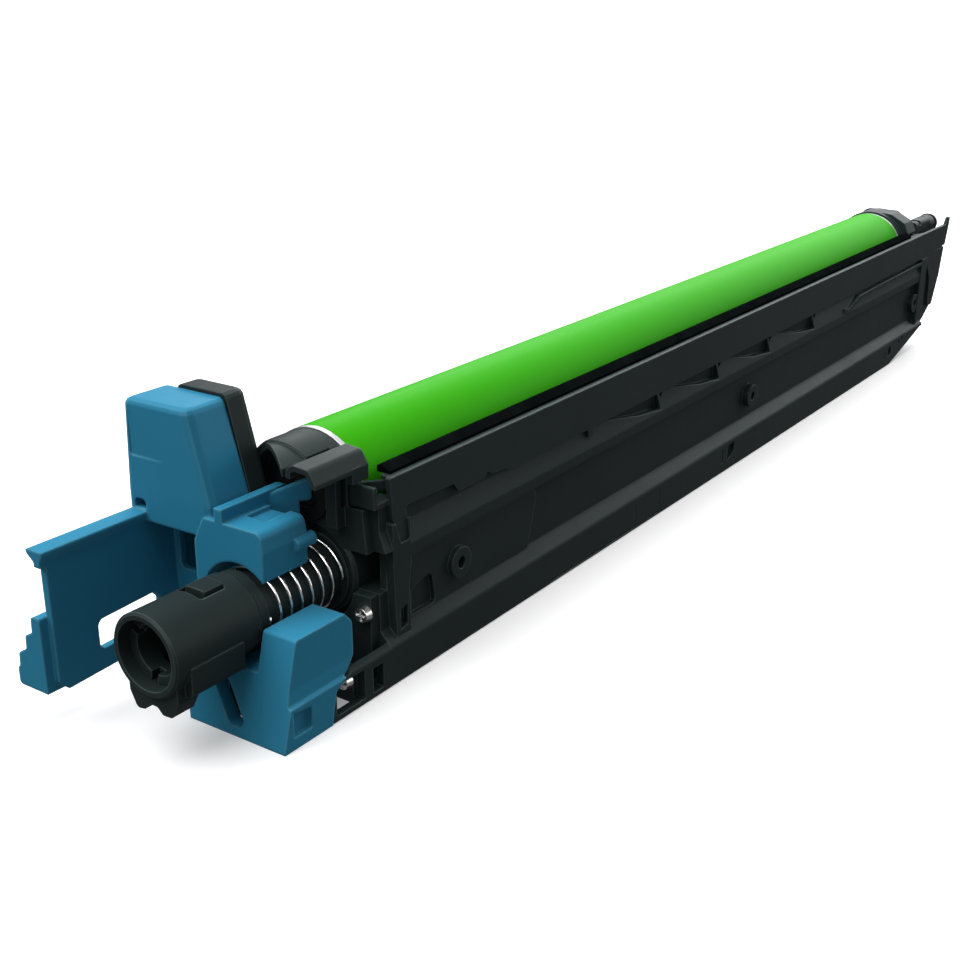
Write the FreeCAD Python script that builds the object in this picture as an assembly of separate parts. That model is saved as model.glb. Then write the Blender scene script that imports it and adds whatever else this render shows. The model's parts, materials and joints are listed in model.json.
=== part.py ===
import FreeCAD, Part
import math
import os

V = FreeCAD.Vector

# Driving sizes, in millimetres

# Drum and its place over the base
coated_length = 379.0
drum_radius = 15.0
drum_wall = 0.9
bare_rim = 1.6
drum_axis_z = 47.5
drum_gap = 2.0

# Gear train at the rear
gear_module = 0.75
drum_teeth = 34
auger_teeth = 22
gear_width = 8.0
gear_backlash = 0.2
auger_side_offset = 1.0

# Fits
running_gap = 0.05
slide_gap = 0.15
seat_gap = 0.3

# Waste toner auger, tube, shutter and spring
auger_radius = 5.2
auger_core = 2.2
auger_pitch = 24.0
auger_blade = 1.4
auger_steps = 10
trough_gap = 0.5
tube_radius = 8.2
tube_bore = 6.0
tube_reach = 51.0
sleeve_radius = 10.0
sleeve_length = 29.0
sleeve_lead = 3.5
skirt_gap = 9.0
spring_wire = 0.75
spring_turns = 7.0
spring_steps = 16
spring_sides = 5
shutter_travel = 12.0

# Frame section
base_left = -17.0
base_right = 23.0
wall_x = 19.6
wall = 2.0
ledge_low = 10.6
ledge_high = 33.0
ledge_x = 22.0
flange_x = 20.0
flange_top = 52.6
rail_reach = 22.0
rail_wall = 2.2
rib_count = 10
rib_thick = 1.8
left_wall_top = 28.0
chamber_floor = 14.0
chamber_left = 8.2

# Side bosses
boss_count = 3
boss_first = 28.5
boss_last_from_rear = 11.0
boss_radius = 4.2
boss_rise = 2.4
boss_hole = 1.7
boss_z = 22.0

# Long side plate
plate_thick = 1.5
plate_top = 53.2
plate_low = 40.6
plate_tail = 51.0
ear_rise = 3.2
tooth_pitch = 42.6
tooth_count = 4
tooth_first = 97.0

# End walls
end_wall = 2.8
end_gap = 0.6
front_hood_radius = 14.7
rear_hood_radius = 15.0
rear_hood_skin = 0.6
hood_wall = 1.9
hood_step = 8.0
hood_reach = 17.0
hood_side = 7.9
housing_left = -34.0
bearing_radius = 6.2
bearing_bore = 4.0
shaft_radius = 3.95
drive_bore = 2.6
drive_depth = 9.0

# Barrel around the tube, screws and pocket
barrel_radius = 12.2
barrel_depth = 15.5
barrel_seat = 1.0
nook_low = 24.0
nook_top = 35.0
spring_seat = 0.8
screw_radius = 1.25
pocket_left = 13.2

# Blue front covers
cover_front = 41.0
cover_back = 15.0
cover_left = -9.0
cover_top = 25.4
cover_wall = 2.2
cradle_gap = 0.8
guard_gap = 1.4
arm_x = -30.0
arm_thick = 2.0
arm_reach = 59.6
arm_low = 9.0
arm_top = 44.0
flange_width = 5.4
cap_left = -34.0
cap_right = -12.4
cap_front = 30.6
cap_back = 17.2
cap_top = 71.5
cap_wall = 1.8
slot_x = 4.0
slot_low = 2.2
slot_top = 12.6

# Places worked out from the sizes above
front = -coated_length / 2
rear = coated_length / 2
drum_axis = V(0, 0, drum_axis_z)
gear_distance = gear_module * (drum_teeth + auger_teeth) / 2
tube_x = auger_side_offset
tube_z = drum_axis_z - math.sqrt(gear_distance ** 2 - auger_side_offset ** 2)
drum_front = front - bare_rim
drum_rear = rear + bare_rim
front_wall_back = drum_front - end_gap
front_wall_face = front_wall_back - end_wall
rear_wall_face = drum_rear + end_gap
rear_wall_back = rear_wall_face + end_wall
gear_start = rear_wall_back + 1.2
gear_end = gear_start + gear_width
sleeve_start = front_wall_face - tube_reach - sleeve_lead
sleeve_end = sleeve_start + sleeve_length
barrel_start = front_wall_back - 1.0
barrel_end = front + barrel_depth
chamber_start = barrel_end + 1.5
spring_stop = barrel_start - spring_seat
spring_radius = tube_radius + slide_gap + 0.35 + spring_wire / 2
frame_end = rear + 21.0


# Shape helpers

def rounded_wire(corners, place, flat=False):
    """Closed outline through (u, v, radius) corners; place turns (u, v) into a point.
    flat cuts each corner with two straight edges in place of its arc."""
    corners = with_radius(corners)
    count = len(corners)
    starts = []
    ends = []
    middles = []
    for i in range(count):
        u, v, r = corners[i]
        pu, pv, _ = corners[i - 1]
        nu, nv, _ = corners[(i + 1) % count]
        if r <= 0:
            starts.append((u, v))
            ends.append((u, v))
            middles.append(None)
            continue
        before = math.hypot(pu - u, pv - v)
        after = math.hypot(nu - u, nv - v)
        bu, bv = (pu - u) / before, (pv - v) / before
        au, av = (nu - u) / after, (nv - v) / after
        half = math.acos(max(-1.0, min(1.0, bu * au + bv * av))) / 2
        reach = min(r / math.tan(half), 0.48 * before, 0.48 * after)
        r = reach * math.tan(half)
        mu, mv = bu + au, bv + av
        size = math.hypot(mu, mv)
        far = r / math.sin(half)
        cu, cv = u + mu / size * far, v + mv / size * far
        starts.append((u + bu * reach, v + bv * reach))
        ends.append((u + au * reach, v + av * reach))
        middles.append((cu - mu / size * r, cv - mv / size * r))
    edges = []
    for i in range(count):
        if middles[i] and flat:
            edges.append(Part.makeLine(place(*starts[i]), place(*middles[i])))
            edges.append(Part.makeLine(place(*middles[i]), place(*ends[i])))
        elif middles[i]:
            arc = Part.Arc(place(*starts[i]), place(*middles[i]), place(*ends[i]))
            edges.append(arc.toShape())
        first = place(*ends[i])
        last = place(*starts[(i + 1) % count])
        if first.distanceToPoint(last) > 1e-6:
            edges.append(Part.makeLine(first, last))
    return Part.Wire(edges)


def with_radius(points, radius=0.0):
    return [p if len(p) == 3 else (p[0], p[1], radius) for p in points]


def prism_y(points, y0, y1, radius=0.0):
    """An (x, z) outline carried from y0 to y1."""
    wire = rounded_wire(with_radius(points, radius), lambda x, z: V(x, y0, z))
    return Part.Face(wire).extrude(V(0, y1 - y0, 0))


def prism_x(points, x0, x1, radius=0.0):
    """A (y, z) outline carried from x0 to x1."""
    wire = rounded_wire(with_radius(points, radius), lambda y, z: V(x0, y, z))
    return Part.Face(wire).extrude(V(x1 - x0, 0, 0))


def prism_z(points, z0, z1, radius=0.0):
    """An (x, y) outline carried from z0 to z1."""
    wire = rounded_wire(with_radius(points, radius), lambda x, y: V(x, y, z0))
    return Part.Face(wire).extrude(V(0, 0, z1 - z0))


def box(x0, x1, y0, y1, z0, z1):
    return Part.makeBox(x1 - x0, y1 - y0, z1 - z0, V(x0, y0, z0))


def rod_y(x, z, radius, y0, y1):
    return Part.makeCylinder(radius, y1 - y0, V(x, y0, z), V(0, 1, 0))


def rod_x(y, z, radius, x0, x1):
    return Part.makeCylinder(radius, x1 - x0, V(x0, y, z), V(1, 0, 0))


def ring_y(x, z, outer, inner, y0, y1):
    return rod_y(x, z, outer, y0, y1).cut(rod_y(x, z, inner, y0 - 1, y1 + 1))


def joined(shapes):
    body = shapes[0].multiFuse(shapes[1:]) if len(shapes) > 1 else shapes[0]
    return body.removeSplitter()


def without(body, tools):
    return body.cut(Part.makeCompound(tools)).removeSplitter()


def turned_profile(points, x, z):
    """Solid of revolution about the line along Y through (x, z); points are (y, radius)."""
    wire = Part.makePolygon([V(x, y, z + r) for y, r in points] + [V(x, points[0][0], z + points[0][1])])
    return Part.Face(wire).revolve(V(x, 0, z), V(0, 1, 0), 360)


def helical_solid(section, pitch, length, steps_per_turn):
    """Flat-faced solid: a (radius, rise) section wound about the Y axis."""
    steps = round(length / pitch * steps_per_turn)
    rings = []
    for i in range(steps + 1):
        angle = 2 * math.pi * i / steps_per_turn
        base = length * i / steps
        rings.append([V(r * math.cos(angle), base + rise, -r * math.sin(angle)) for r, rise in section])
    outlines = [rings[0], rings[-1]]
    for near, far in zip(rings, rings[1:]):
        for k in range(len(section)):
            outlines.append([near[k - 1], near[k], far[k]])
            outlines.append([near[k - 1], far[k], far[k - 1]])
    shell = Part.makeShell([Part.Face(Part.makePolygon(outline + outline[:1])) for outline in outlines])
    shell.sewShape()
    solid = Part.Solid(shell)
    if solid.Volume < 0:
        solid.reverse()
    return solid


def spur_gear(x, z, teeth, y0, y1, turn=0.0):
    """Straight teeth with flanks thinned by the backlash."""
    pitch = gear_module * teeth / 2
    tip = pitch + gear_module
    root = pitch - 1.2 * gear_module
    step = 2 * math.pi / teeth
    half = step / 4 - gear_backlash / pitch / 2
    lean = 0.36 * gear_module / pitch
    points = []
    for i in range(teeth):
        middle = i * step + turn
        for radius, spread in ((root, half + 1.3 * lean), (tip, half - lean)):
            points.append((radius, middle - spread))
        for radius, spread in ((tip, half - lean), (root, half + 1.3 * lean)):
            points.append((radius, middle + spread))
    outline = [(x + r * math.sin(a), z + r * math.cos(a)) for r, a in points]
    return prism_y(outline, y0, y1)


# Drum: coated tube, bare rims, flanges and gear

def drum_tube():
    return ring_y(0, drum_axis_z, drum_radius, drum_radius - drum_wall, front, rear)


def drum_rims():
    outer = drum_radius - 0.05
    inner = drum_radius - drum_wall
    near = ring_y(0, drum_axis_z, outer, inner, drum_front, front)
    far = ring_y(0, drum_axis_z, outer, inner, rear, drum_rear)
    return Part.makeCompound([near, far])


def front_flange():
    inside = drum_radius - drum_wall
    tip = front_wall_face - 1.0
    return turned_profile([
        (tip, 0), (tip, shaft_radius - 0.6), (tip + 0.6, shaft_radius), (drum_front, shaft_radius),
        (drum_front, inside), (front + 8, inside), (front + 8, 0)], 0, drum_axis_z)


def drum_gear():
    inside = drum_radius - drum_wall
    hub = shaft_radius + 1.0
    body = turned_profile([
        (rear - 8, 0), (rear - 8, inside), (drum_rear, inside), (drum_rear, hub),
        (gear_end + 5, hub), (gear_end + 5, 0)], 0, drum_axis_z)
    teeth = spur_gear(0, drum_axis_z, drum_teeth, gear_start, gear_end)
    socket = rod_y(0, drum_axis_z, drive_bore, gear_end + 5 - drive_depth, gear_end + 6)
    key = box(-0.8, 0.8, gear_end + 5 - drive_depth, gear_end + 6,
              drum_axis_z - hub + 0.7, drum_axis_z + hub - 0.7)
    return without(joined([body, teeth]), [socket, key])


# Waste toner auger and its gear

def auger_front():
    return front_wall_face - tube_reach + 7.0


def auger_screw():
    y0 = auger_front()
    blade_end = rear_wall_face - 6.0
    journal = rod_y(tube_x, tube_z, auger_core, blade_end, gear_end + 2.3)
    turns = [2 * math.pi * i / auger_steps for i in range(auger_steps)]
    core = prism_y([(auger_core * math.cos(a), auger_core * math.sin(a)) for a in turns], 0, blade_end - y0)
    section = [(auger_core, -auger_blade / 2), (auger_radius, -auger_blade / 3),
               (auger_radius, auger_blade / 3), (auger_core, auger_blade / 2)]
    blade = helical_solid(section, auger_pitch, blade_end - y0 - 2.0, auger_steps)
    blade.translate(V(0, 1.0, 0))
    screw = joined([core, blade])
    screw.translate(V(tube_x, y0, tube_z))
    return joined([screw, journal])


def auger_gear():
    body = spur_gear(tube_x, tube_z, auger_teeth, gear_start, gear_end, mesh_turn())
    return body.cut(rod_y(tube_x, tube_z, auger_core + running_gap, gear_start - 1, gear_end + 1))


def mesh_turn():
    """Turn that puts a gap of the auger gear on the line of centres, facing a drum tooth."""
    to_auger = math.atan2(tube_x, tube_z - drum_axis_z)
    to_drum = math.atan2(-tube_x, drum_axis_z - tube_z)
    drum_step = 2 * math.pi / drum_teeth
    auger_step = 2 * math.pi / auger_teeth
    phase = (to_auger / drum_step) % 1.0
    return to_drum + (0.5 + phase) * auger_step


# Waste toner tube, shutter sleeve and spring

def waste_tube():
    tip = front_wall_face - tube_reach
    body = ring_y(tube_x, tube_z, tube_radius, tube_bore, tip, barrel_start + barrel_seat - 0.02)
    flutes = []
    for i in range(6):
        angle = math.radians(206 + 22 * i)
        x = tube_x + (tube_radius + 0.25) * math.sin(angle)
        z = tube_z - (tube_radius + 0.25) * math.cos(angle)
        flutes.append(rod_y(x, z, 0.6, sleeve_end - 6, spring_stop - 1))
    outlet = prism_z([(tube_x - 4.5, tip + 5), (tube_x + 4.5, tip + 5), (tube_x + 4.5, tip + 19),
                      (tube_x - 4.5, tip + 19)], tube_z - tube_radius - 1, tube_z - 2, 1.5)
    notches = []
    for angle in (60, 190, 300):
        slot = box(-1.0, 1.0, tip - 1, tip + 2.4, tube_bore - 1, tube_radius + 1)
        slot.rotate(V(0, 0, 0), V(0, 1, 0), angle)
        slot.translate(V(tube_x, 0, tube_z))
        notches.append(slot)
    return without(body, flutes + [outlet] + notches)


def shutter_sleeve():
    y0 = sleeve_start
    y1 = sleeve_end
    bore = tube_radius + slide_gap
    body = turned_profile([
        (y0, bore), (y0, sleeve_radius - 0.5), (y0 + 0.5, sleeve_radius), (y1 - 3.5, sleeve_radius),
        (y1 - 2.5, sleeve_radius - 0.5), (y1, sleeve_radius - 0.5), (y1, bore)], tube_x, tube_z)
    skirt = prism_y([(tube_x + 2.0, tube_z - 2), (tube_x + sleeve_radius, tube_z - 2),
                     (tube_x + sleeve_radius - 0.2, tube_z - 9.0, 1.2), (tube_x + 6.6, tube_z - 9.6, 1.0),
                     (tube_x + 2.0, tube_z - 9.0)], y0 + 4, y1 - skirt_gap)
    foot = prism_y([
        (tube_x - 7.6, tube_z - 4), (tube_x - 7.6, tube_z - 11), (tube_x - 5.6, tube_z - 15.0, 1.2),
        (tube_x - 3.2, tube_z - 14.6), (tube_x - 1.6, tube_z - 12.8), (tube_x + 0.8, tube_z - 12.8),
        (tube_x + 2.6, tube_z - 14.4), (tube_x + 5.6, tube_z - 14.2, 1.2), (tube_x + 7.6, tube_z - 10.4, 1.0),
        (tube_x + 7.6, tube_z - 4)], y0 + 1.6, y0 + 7.6)
    keel = prism_x([(y0 + 6, tube_z - 6), (y0 + 6, tube_z - 12.6), (y0 + 14, tube_z - 11.8, 1.0),
                    (y1 - 3, tube_z - 10.2), (y1 - 3, tube_z - 6)],
                   tube_x - 1.4, tube_x + 1.4)
    body = joined([body, skirt, foot, keel])
    catch = prism_z([(tube_x - 3.4, y1 - 15.5), (tube_x + 4.0, y1 - 15.5), (tube_x + 4.0, y1 - 7.5),
                     (tube_x - 3.4, y1 - 7.5)], tube_z + bore - 1, tube_z + sleeve_radius + 1, 1.0)
    inside = rod_y(tube_x, tube_z, bore, y0 - 1, y1 + 1)
    body = without(body, [inside, catch])
    tab = prism_z([(tube_x - 2.6, y1 - 13.5), (tube_x + 3.2, y1 - 13.5), (tube_x + 3.2, y1 - 7.6),
                   (tube_x - 2.6, y1 - 7.6)], tube_z + bore - 2.0, tube_z + sleeve_radius + 0.3)
    tongue = prism_z([(tube_x - 2.6, y1 - 13.5), (tube_x + 3.2, y1 - 13.5), (tube_x + 3.2, y1 - 5.0),
                      (tube_x - 2.6, y1 - 5.0)], tube_z + bore - 2.0, tube_z + sleeve_radius - 0.4)
    tongue = tongue.common(ring_y(tube_x, tube_z, sleeve_radius - 0.3, bore, y1 - 20, y1))
    tab = tab.common(ring_y(tube_x, tube_z, sleeve_radius + 0.5, bore, y1 - 20, y1))
    return joined([body, tongue, tab])


def shutter_spring():
    length = spring_stop - sleeve_end - spring_wire - 0.1
    wire = spring_wire / 2
    section = [(spring_radius + wire * math.cos(a), wire * math.sin(a))
               for a in [2 * math.pi * i / spring_sides for i in range(spring_sides)]]
    coil = helical_solid(section, length / spring_turns, length, spring_steps)
    coil.translate(V(tube_x, sleeve_end + wire + 0.05, tube_z))
    return coil


# Main frame

def frame_section():
    """Outline of the moulded frame across its length."""
    return [
        (base_left, 0, 0.8), (base_right, 0, 0.5), (base_right, ledge_low, 1.6),
        (wall_x + 0.6, ledge_low + 2.6, 1.0), (wall_x, ledge_low + 3.4, 0.6),
        (wall_x, ledge_high - 2.6, 0.8), (ledge_x, ledge_high - 1.6, 0.9),
        (ledge_x, ledge_high + 1.6, 1.6), (flange_x, plate_low - 0.4, 1.2),
        (flange_x, flange_top, 0.4), (flange_x - 2.4, flange_top, 0.4),
        (flange_x - 2.4, drum_axis_z - 2, 0), (chamber_left, drum_axis_z - 10, 0),
        (chamber_left, tube_z + 6, 0), (base_left + 3, tube_z + 6, 1.0),
        (base_left, left_wall_top, 0.8)]


def frame_pockets(y0, y1):
    """Open pockets on the underside, with cross ribs between them."""
    step = (y1 - y0) / rib_count
    left = base_left + wall
    keel = 2.0
    roof = tube_z - auger_radius - trough_gap - wall
    tools = []
    for i in range(rib_count):
        a = y0 + i * step + rib_thick / 2
        b = y0 + (i + 1) * step - rib_thick / 2
        tools.append(prism_y([(left, -1), (left, left_wall_top - 3), (-8.5, left_wall_top - 3),
                              (-6.4, roof), (-keel, roof - 1), (-keel, -1)], a, b))
        tools.append(prism_y([(keel, -1), (keel, chamber_floor - wall),
                              (wall_x - 1.2, chamber_floor - wall),
                              (base_right - rail_wall, ledge_low - 2),
                              (base_right - rail_wall, -1)], a, b))
    return tools


def wedge_recesses():
    """Saw-tooth recesses between the side plate and the upper ledge."""
    tools = []
    top = plate_low + 0.2
    for i in range(tooth_count):
        a = front + tooth_first + i * tooth_pitch
        b = a + tooth_pitch - 2.4
        tools.append(prism_x([(a + 3, top), (b, top), (b, top - 5.6), (b - 14, top - 4.2)],
                             flange_x - 1.0, ledge_x + 1))
        tools.append(prism_x([(b + 1.2, top), (b + 4.0, top - 0.6), (b + 1.2, top - 2.4)],
                             flange_x - 0.6, ledge_x + 1))
    return tools


def rail_cuts():
    """Openings, latch slits and scoops of the lower rail."""
    x0 = base_right - 0.7
    x1 = base_right + 1
    through = base_right - rail_wall - 0.5
    tools = [
        prism_x([(front - 9.6, 1.6), (front - 5.6, 1.6), (front - 5.6, 8.2), (front - 9.6, 8.2)],
                through, x1),
        prism_x([(front - 23, 1.6), (front - 12.6, 1.6), (front - 12.6, 9.4), (front - 23, 9.4)],
                through, x1),
        box(x0, x1, front + 70, front + 121, 0.9, 1.5),
        box(x0, x1, front + 120.4, front + 121, 0.9, 8.6),
        box(x0, x1, front + 129, front + 136.6, 0.9, 1.5),
        box(x0, x1, front + 136, front + 136.6, 0.9, 9.2),
        box(x0, x1, front + 183, front + 184, 3.8, 8.8),
        prism_x([(front + 187, 3.4), (front + 193, 5.6), (front + 193, 9.6), (front + 188, 9.2)],
                base_right - 1.4, x1, 0.6)]
    far = front + coated_length - 29
    tools.append(box(x0, x1, far, far + 1.2, 3.6, 7.8))
    tools.append(prism_x([(far + 4, 4.0), (far + 8, 5.0), (far + 8, 9.0), (far + 4, 8.2)],
                         base_right - 1.2, x1, 1.0))
    tools.append(rod_x(far + 18, 8.6, 1.1, base_right - 1.2, x1))
    tools.append(rod_x(far + 22, 9.2, 1.1, base_right - 1.2, x1))
    return tools


def boss_places():
    last = frame_end - boss_last_from_rear
    first = front + boss_first
    step = (last - first) / (boss_count - 1)
    return [first + i * step for i in range(boss_count)]


def main_frame():
    y0 = front_wall_back
    y1 = frame_end
    body = prism_y(frame_section(), y0, y1)
    cavity = rod_y(0, drum_axis_z, drum_radius + drum_gap, y0 - 1, y1 + 1)
    trough = rod_y(tube_x, tube_z, auger_radius + trough_gap, y0 - 1, rear_wall_face + 0.01)
    throat = box(tube_x - 4.2, tube_x + 4.2, y0 - 1, rear_wall_face, tube_z, drum_axis_z)
    chamber = prism_y([(chamber_left, chamber_floor, 0.8), (wall_x - wall, chamber_floor, 0.8),
                       (wall_x - wall, drum_axis_z), (chamber_left, drum_axis_z)],
                      chamber_start, rear_wall_face - 3)
    slope = prism_y([(chamber_left + 1, tube_z + 2), (tube_x + 3, tube_z + 5), (tube_x + 3, drum_axis_z),
                     (chamber_left + 1, drum_axis_z)], chamber_start, rear_wall_face - 3)
    gears = box(base_left - 1, wall_x - wall, rear_wall_face - 0.01, frame_end + 1, 12.0, drum_axis_z + 9)
    body = without(body, [cavity, trough, throat, chamber, slope, gears]
                   + frame_pockets(front, rear_wall_face) + wedge_recesses())
    rail = prism_y([(base_right - rail_wall, 0), (base_right, 0, 0.5), (base_right, ledge_low, 1.4),
                    (base_right - rail_wall, ledge_low + 1.2, 0.6)], front - rail_reach - 2, y0 + 1)
    floor = box(tube_x + 9, base_right - rail_wall, front - 14, y0 + 1, 0, 1.6)
    tongue = box(slot_x - 5, slot_x + 6.4, front - cover_front + 7.5, front - 13, 0, 1.6)
    lug = box(15.5, base_right - rail_wall, front - 14, front - 12.4, 0, 9.6)
    posts = [
        prism_x([(front + 1.4, ledge_low), (front + 7.0, ledge_low), (front + 6.4, 24), (front + 7.4, 30),
                 (front + 7.4, plate_low + 1), (front + 0.6, plate_low + 1), (front + 0.6, 30)],
                wall_x - 1, ledge_x),
        prism_x([(frame_end - 8.5, ledge_low + 1), (frame_end - 1, ledge_low + 3), (frame_end, plate_low + 2),
                 (frame_end - 7.5, plate_low + 2)], wall_x - 1, ledge_x + 0.4)]
    pad = prism_x([(front + 4, ledge_low + 3.2), (front + 62, ledge_low + 3.2), (front + 66.5, ledge_high - 5, 2),
                   (front + 65, ledge_high - 2.6), (front + 4, ledge_high - 2.6)], wall_x - 0.5, wall_x + 0.8)
    bosses = [rod_x(y, boss_z, boss_radius, wall_x - 0.5, wall_x + boss_rise) for y in boss_places()]
    arm = prism_x([(front + 296, 35.4), (front + 301, 34.8, 2), (front + 314, 38.2, 6), (front + 340, 38.8, 8),
                   (frame_end - 6, 39.2), (frame_end - 6, 40.4), (front + 340, 40.2, 8),
                   (front + 312, 39.8, 5), (front + 300, 36.4, 2), (front + 296, 37.2)],
                  flange_x - 1, ledge_x + 0.3)
    rail = rail.cut(prism_x([
        (front - 30, -1), (front - rail_reach - 2.4, -1), (front - rail_reach - 0.8, 7.8),
        (front - cover_back - 2.2, ledge_low + 0.3), (front - cover_back + seat_gap, ledge_low + 2.8),
        (front - cover_back + seat_gap, 20), (front - 30, 20)], base_right - 5, base_right + 1))
    flange_gap = box(flange_x - 3, flange_x + 1, y0 - 1, front + 6.0, 46.2, 54)
    plate_seat = prism_x(bracket_outline(), flange_x, ledge_x + 1)
    body = joined([body, rail, floor, tongue, lug, pad, arm] + posts + bosses)
    body = without(body, [flange_gap, plate_seat])
    holes = [rod_x(y, boss_z, boss_hole, wall_x - wall - 1, wall_x + boss_rise + 1) for y in boss_places()]
    window = prism_x([(front + 2.8, 13.2), (front + 5.6, 13.8), (front + 5.6, 19.6), (front + 2.8, 18.6)],
                     wall_x + 0.9, ledge_x + 1)
    corner = prism_x([(front + 9, ledge_low + 3.6), (front + 19, ledge_low + 3.6, 1), (front + 17.5, 23.5, 2),
                      (front + 9, 21)], wall_x - 0.6, wall_x + 2)
    chamfer = prism_x([(rear - 23, -0.01), (frame_end + 1, -0.01), (frame_end + 1, 9.6), (frame_end - 2.5, 9.6)],
                      base_left - 1, base_right + 1)
    barrel_pocket = rod_y(tube_x, tube_z, barrel_radius + 0.1, y0 - 1, barrel_end + 0.1)
    barrel_side = prism_y([(tube_x, nook_low), (wall_x - wall, nook_low), (wall_x - wall, nook_top),
                           (tube_x, nook_top)], y0 - 1, barrel_end + 0.1)
    corner_gap = box(tube_x, ledge_x + 1, y0 - 1, front + 0.6, nook_low, nook_top)
    screw_holes = [rod_y(x, z, screw_radius + 0.1, y - 1, y + 7.5) for x, y, z in side_screw_places()]
    return without(body, holes + rail_cuts() + [window, corner, chamfer, barrel_pocket, barrel_side, corner_gap]
                   + screw_holes)


# Long side plate, seal strip and screws on the side

def bracket_outline():
    y0 = front + 0.6
    y1 = rear + plate_tail
    low = plate_low
    return [
        (y0, plate_top, 0.4), (y0 + 0.8, plate_low + 2), (y0 + 3.0, 36.0, 0.6), (y0 + 6.4, 36.0, 0.6),
        (y0 + 5.6, low + 4.2, 1.0), (front + 26, low + 3.6, 0.4), (front + 28, low + 1.0, 0.4),
        (front + 39, low + 1.0, 0.3), (front + 41, low + 2.4, 0.3), (front + 43, low + 1.2, 0.3),
        (front + 49, low + 0.8, 0.4), (front + 52, low, 0.4), (front + 92, low, 0.2),
        (front + 92.8, low - 2.6, 0.2), (front + 95, low - 2.6, 0.2), (front + 95.6, low, 0.2),
        (frame_end + 1, low + 1.2, 0.6), (y1 - 2.5, low + 3.0, 0.8), (y1 + 0.5, plate_top - 1.0, 0.3),
        (y1 + 1.4, plate_top + ear_rise, 0.6), (y1 - 1.2, plate_top + ear_rise - 0.4, 0.6),
        (y1 - 3.4, plate_top, 1.2)]


def side_bracket():
    y0 = front + 0.6
    y1 = rear + plate_tail
    x1 = flange_x + plate_thick
    low = plate_low
    plate = prism_x(bracket_outline(), flange_x + 0.02, x1)
    lip = box(flange_x - 2.2, x1, y0 + 1, rear + 14, flange_top + 0.05, plate_top)
    apron = prism_x([(frame_end + 0.3, low + 2), (y1 - 3, low + 2), (y1 - 6, 30, 2), (y1 - 13, 16.5, 1),
                     (y1 - 19, 16.5, 1), (y1 - 20.5, 30)], flange_x + 0.02, x1 - 0.2)
    pocket_lip = prism_x([(front - 4.4, 46.4), (y0 + 3, 46.4), (y0 + 3, 47.6), (front - 3.2, 47.6),
                          (front - 3.2, 52.0), (front - 4.4, 52.0)], pocket_left, flange_x + 0.5, 0.3)
    pocket_side = prism_z([(pocket_left, front - 4.4), (pocket_left + 1.2, front - 4.4),
                           (flange_x + 0.5, y0 + 3.6), (flange_x + 0.5, y0 + 5.0)], 49.6, 52.0)
    keep_clear = rod_y(0, drum_axis_z, drum_radius + 1.2, drum_front - 0.4, rear)
    return without(joined([plate, lip, apron, pocket_lip, pocket_side]), [keep_clear])


def seal_strip():
    return prism_y([(drum_radius + 0.6, plate_top + 0.02), (flange_x - 0.5, plate_top + 0.02),
                    (flange_x - 0.5, plate_top + 0.75), (flange_x - 3.0, plate_top + 1.9, 0.4),
                    (drum_radius + 0.6, plate_top + 1.6)], front + 3, rear + 1.8)


def side_screw_places():
    return [(17.4, front_wall_face, 19.6), (18.4, front - 14.0, 5.8)]


def side_screws():
    solids = []
    for x, y, z in side_screw_places():
        head = turned_profile([(y - 1.9, 0), (y - 1.9, 1.8), (y - 0.05, 2.2),
                               (y - 0.05, screw_radius), (y + 7.0, screw_radius), (y + 7.0, 0)], x, z)
        slot = box(x - 1.5, x + 1.5, y - 3, y - 1.2, z - 0.3, z + 0.3)
        cross = box(x - 0.3, x + 0.3, y - 3, y - 1.2, z - 1.5, z + 1.5)
        solids.append(without(head, [slot, cross]))
    return Part.makeCompound(solids)


# Cleaning blade

def blade_holder():
    y0 = chamber_start + 0.5
    y1 = rear - 1.2
    left = chamber_left + 0.8
    return prism_y([(left, chamber_floor + 0.02), (15.8, chamber_floor + 0.02, 1.6), (15.8, 30.4, 0.2),
                    (14.6, 30.4, 0.2), (14.6, chamber_floor + 1.2, 0.4), (left, chamber_floor + 1.2)], y0, y1)


def cleaning_blade():
    y0 = chamber_start + 1.5
    y1 = rear - 2
    return prism_y([(15.82, 25.5), (17.3, 25.5), (17.3, 30.2, 1.0), (14.1, 39.0), (12.4, 38.4),
                    (15.82, 30.6)], y0, y1)


def blade_screws():
    solids = []
    for share in (0.1, 0.5, 0.94):
        y = front + share * coated_length
        head = Part.makeCylinder(2.6, 1.6, V(11.8, y, chamber_floor + 1.25), V(0, 0, 1))
        solids.append(head)
    return Part.makeCompound(solids)


def end_seals():
    solids = []
    for y in (chamber_start + 0.4, rear - 1.9):
        solids.append(prism_y([(14.3, 33.2), (17.3, 33.2), (17.3, 40.5), (15.2, 41.4)], y, y + 1.0))
    return Part.makeCompound(solids)


def recovery_film():
    return prism_y([(-13.7, tube_z + 6.02), (-9.6, tube_z + 6.02), (-9.4, 35.2), (-9.8, 35.2),
                    (-10.0, tube_z + 6.5), (-13.7, tube_z + 6.5)], barrel_end + seat_gap, rear - 2)


# Front end housing, bearing and collar

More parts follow.
